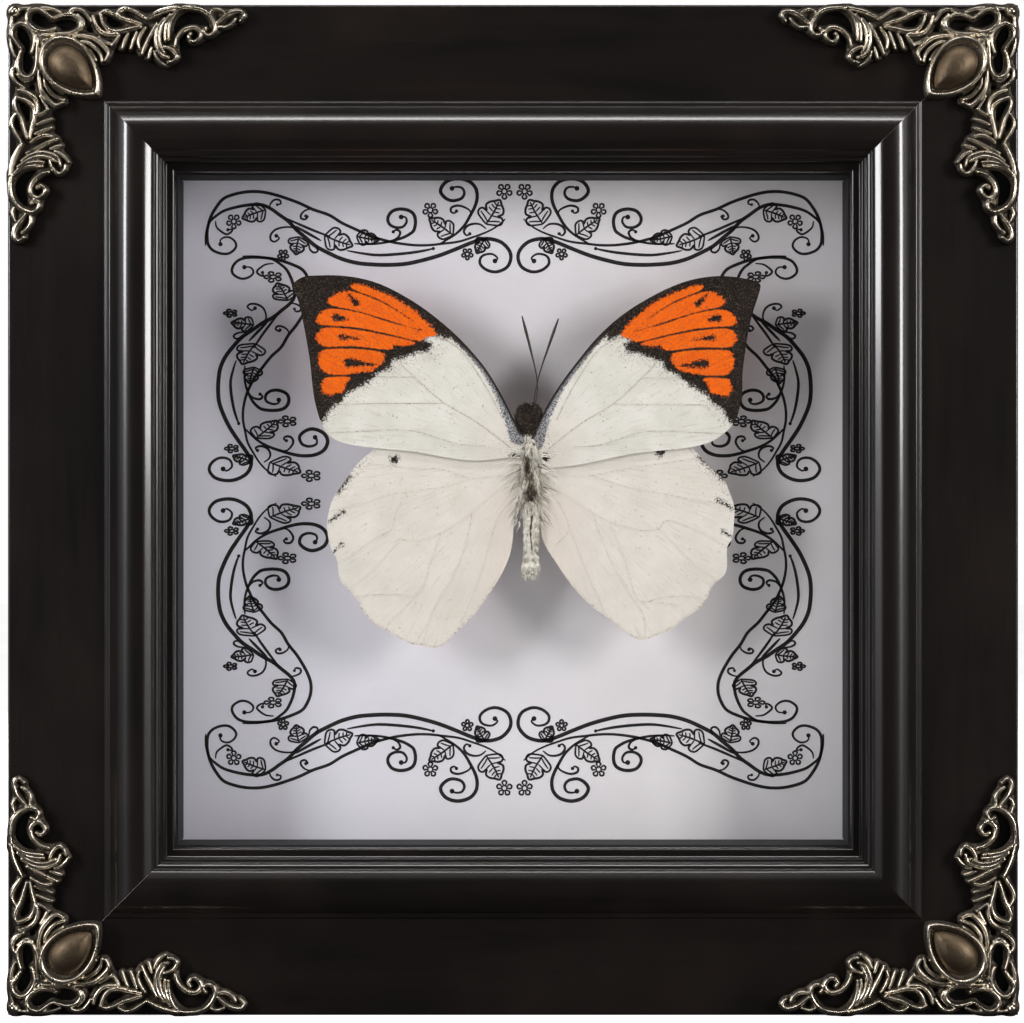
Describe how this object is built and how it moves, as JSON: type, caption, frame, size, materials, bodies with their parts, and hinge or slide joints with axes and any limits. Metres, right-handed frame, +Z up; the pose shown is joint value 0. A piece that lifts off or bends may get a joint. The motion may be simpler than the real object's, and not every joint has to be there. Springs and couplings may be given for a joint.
{
  "type": "framed butterfly specimen",
  "caption": "Square dark-wood shadow-box frame with cast corner ornaments, holding a spread white butterfly with orange wing tips over a scroll-printed card.",
  "frame": {"origin": "centre of the footprint of the upright frame, on the surface it stands on", "axes": "+Z up, +X to the viewer's right, the glazed front faces -Y"},
  "size_m": [0.2, 0.0352, 0.2],
  "materials": {
    "stained_wood": "satin lacquer over dark espresso stain",
    "clear_glass": "clear polished",
    "black_foam": "matt black foam board",
    "printed_card": "uncoated pale card printed in black",
    "hardboard": "smooth brown hardboard",
    "zinc_plate": "zinc plated",
    "antiqued_metal": "antique silver-bronze, dark in the recesses",
    "body_fur": "dry fine fur and scales",
    "wing_scales": "thin scaled membrane",
    "antenna_black": "dry horny stalk",
    "mounting_cork": "light cork"
  },
  "bodies": {
    "root": {"rail_top": "stained_wood", "rail_bottom": "stained_wood", "rail_left": "stained_wood", "rail_right": "stained_wood", "glass_pane": "clear_glass", "spacer_top": "black_foam", "spacer_bottom": "black_foam", "spacer_left": "black_foam", "spacer_right": "black_foam", "backing_card": "printed_card", "back_panel": "hardboard", "sawtooth_hanger": "zinc_plate", "hanger_nail_left": "zinc_plate", "hanger_nail_right": "zinc_plate", "retaining_tab_top_1": "zinc_plate", "retaining_tab_top_2": "zinc_plate", "retaining_tab_bottom_1": "zinc_plate", "retaining_tab_bottom_2": "zinc_plate", "retaining_tab_left_1": "zinc_plate", "retaining_tab_left_2": "zinc_plate", "retaining_tab_right_1": "zinc_plate", "retaining_tab_right_2": "zinc_plate", "corner_ornament_top_left": "antiqued_metal", "corner_ornament_top_right": "antiqued_metal", "corner_ornament_bottom_left": "antiqued_metal", "corner_ornament_bottom_right": "antiqued_metal", "butterfly_body": "body_fur", "forewing_left": "wing_scales", "forewing_right": "wing_scales", "hindwing_left": "wing_scales", "hindwing_right": "wing_scales", "antenna_left": "antenna_black", "antenna_right": "antenna_black", "mounting_pad": "mounting_cork"}
  },
  "joints": []
}
